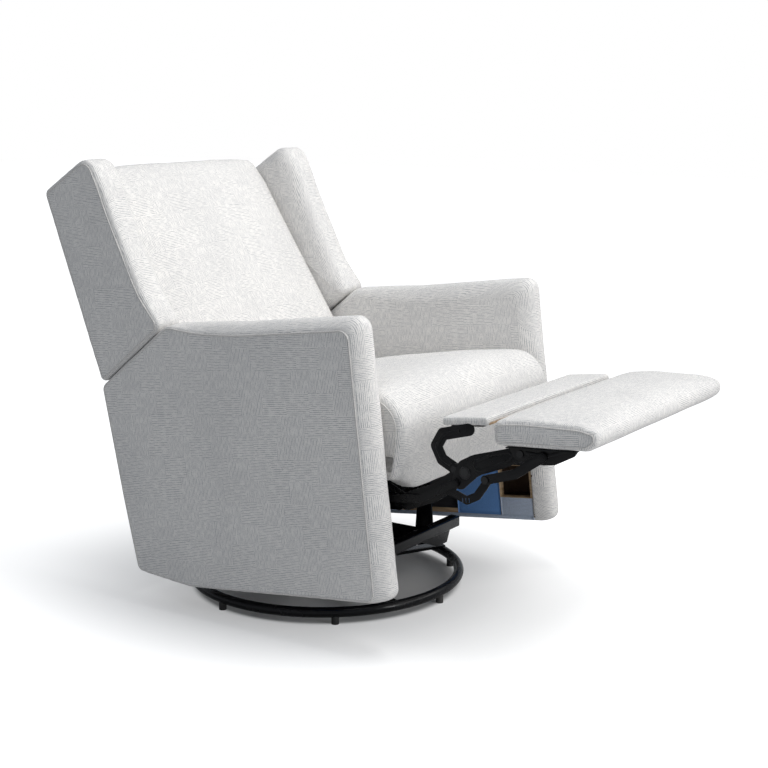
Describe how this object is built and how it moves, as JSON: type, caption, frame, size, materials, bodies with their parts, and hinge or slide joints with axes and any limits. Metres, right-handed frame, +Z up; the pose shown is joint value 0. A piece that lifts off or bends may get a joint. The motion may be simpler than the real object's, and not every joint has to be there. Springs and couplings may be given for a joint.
{
  "type": "swivel glider recliner",
  "caption": "Upholstered wing-back recliner with a fold-out footrest and tilting back, gliding on links over a round swivel base.",
  "frame": {"origin": "on the floor under the swivel axis, at the centre of the base ring", "axes": "+Z up along the swivel axis, -Y towards the front with the footrest, +X to the sitter's left"},
  "size_m": [0.735, 1.2581, 0.9398],
  "materials": {
    "fabric": "woven upholstery cloth, off-white with fine grey threads",
    "black_steel": "gloss black powder coat",
    "linkage_steel": "satin black coat on stamped steel",
    "zinc_steel": "zinc plated",
    "spring_steel": "oil-hardened spring wire",
    "plywood": "bare plywood and hardwood",
    "liner": "thin non-woven lining",
    "foot_plastic": "hard nylon"
  },
  "bodies": {
    "base": {"ring_tube": "black_steel", "base_cross": "black_steel", "foot_glides": "foot_plastic", "hub_plate": "black_steel", "bearing_lower_race": "zinc_steel", "bearing_balls": "zinc_steel", "swivel_bolt": "zinc_steel"},
    "swivel": {"bearing_upper_race": "zinc_steel", "swivel_plate": "black_steel", "glider_rails": "black_steel", "glider_posts": "black_steel", "glider_cross_front": "black_steel", "glider_cross_rear": "black_steel", "glider_gussets": "black_steel", "glider_upper_pins": "zinc_steel"},
    "front_glider_links": {"glider_front_links": "linkage_steel"},
    "rear_glider_links": {"glider_rear_links": "linkage_steel"},
    "chair": {"chassis_hangers": "linkage_steel", "glider_lower_pins": "zinc_steel", "chassis_tubes": "linkage_steel", "chassis_plate_left": "linkage_steel", "chassis_plate_right": "linkage_steel", "chassis_bolts": "zinc_steel", "seat_frame": "plywood", "seat_springs": "spring_steel", "seat_deck": "liner", "seat_cushion": "fabric", "arm_panels": "plywood", "arm_cover_left": "fabric", "arm_cover_right": "fabric", "rear_rail": "plywood", "lower_back_panel": "fabric", "footrest_pivots": "zinc_steel"},
    "back": {"back_frame": "plywood", "back_springs": "spring_steel", "back_outer_panel": "fabric", "back_cushion": "fabric", "wing_boards": "plywood", "wing_cover_left": "fabric", "wing_cover_right": "fabric", "recline_brackets": "linkage_steel", "recline_pins": "zinc_steel"},
    "drive_links": {"drive_link_left": "linkage_steel", "drive_link_right": "linkage_steel", "torque_tube": "linkage_steel", "drive_rivets": "zinc_steel"},
    "carrier_links": {"carrier_link_left": "linkage_steel", "carrier_link_right": "linkage_steel", "carrier_rivets": "zinc_steel"},
    "lower_links": {"lower_link_left": "linkage_steel", "lower_link_right": "linkage_steel"},
    "control_links": {"control_link_left": "linkage_steel", "control_link_right": "linkage_steel"},
    "footrest": {"footrest_pad": "fabric", "footrest_board": "plywood", "footrest_brackets": "linkage_steel"},
    "middle_footrest": {"goosenecks": "linkage_steel", "middle_board": "plywood", "middle_pad": "fabric"}
  },
  "joints": [
    {"name": "swivel", "type": "hinge", "parent": "base", "child": "swivel", "pos_m": [0, 0, 0.05], "axis": [0, 0, 1], "continuous": true},
    {"name": "glide", "type": "hinge", "parent": "swivel", "child": "front_glider_links", "pos_m": [0, -0.135, 0.232], "axis": [1, 0, 0], "range_deg": [-30, 0]},
    {"name": "chair_tilt", "type": "hinge", "parent": "front_glider_links", "child": "chair", "pos_m": [0, -0.06127, 0.13269], "axis": [1, 0, 0], "range_deg": [0, 38.74]},
    {"name": "rear_glide", "type": "hinge", "parent": "swivel", "child": "rear_glider_links", "pos_m": [0, 0.135, 0.232], "axis": [1, 0, 0], "range_deg": [-27.6, 0]},
    {"name": "recline", "type": "hinge", "parent": "chair", "child": "back", "pos_m": [0, 0.20848, 0.31039], "axis": [-1, 0, 0], "range_deg": [0, 28]},
    {"name": "footrest", "type": "hinge", "parent": "chair", "child": "drive_links", "pos_m": [0, -0.30385, 0.33656], "axis": [1, 0, 0], "range_deg": [0, 102.5]},
    {"name": "carrier", "type": "hinge", "parent": "drive_links", "child": "carrier_links", "pos_m": [0, -0.51677, 0.37592], "axis": [1, 0, 0], "range_deg": [-162.35, 0]},
    {"name": "footrest_turn", "type": "hinge", "parent": "carrier_links", "child": "footrest", "pos_m": [0, -0.63544, 0.4297], "axis": [1, 0, 0], "range_deg": [0, 146.85]},
    {"name": "lower", "type": "hinge", "parent": "chair", "child": "lower_links", "pos_m": [0, -0.26555, 0.32294], "axis": [1, 0, 0], "range_deg": [0, 88.15]},
    {"name": "control", "type": "hinge", "parent": "drive_links", "child": "control_links", "pos_m": [0, -0.56559, 0.37141], "axis": [1, 0, 0], "range_deg": [-153.75, 0]},
    {"name": "flipper", "type": "hinge", "parent": "drive_links", "child": "middle_footrest", "pos_m": [0, -0.49037, 0.37794], "axis": [1, 0, 0], "range_deg": [-152.55, 0]}
  ],
  "couplings": [
    {"joint": "chair_tilt", "follows": "glide", "ratio": -1.2896},
    {"joint": "rear_glide", "follows": "glide", "ratio": 0.9184},
    {"joint": "carrier", "follows": "footrest", "ratio": -1.5834},
    {"joint": "footrest_turn", "follows": "footrest", "ratio": 1.4322},
    {"joint": "lower", "follows": "footrest", "ratio": 0.8595},
    {"joint": "control", "follows": "footrest", "ratio": -1.4995},
    {"joint": "flipper", "follows": "footrest", "ratio": -1.4878}
  ]
}
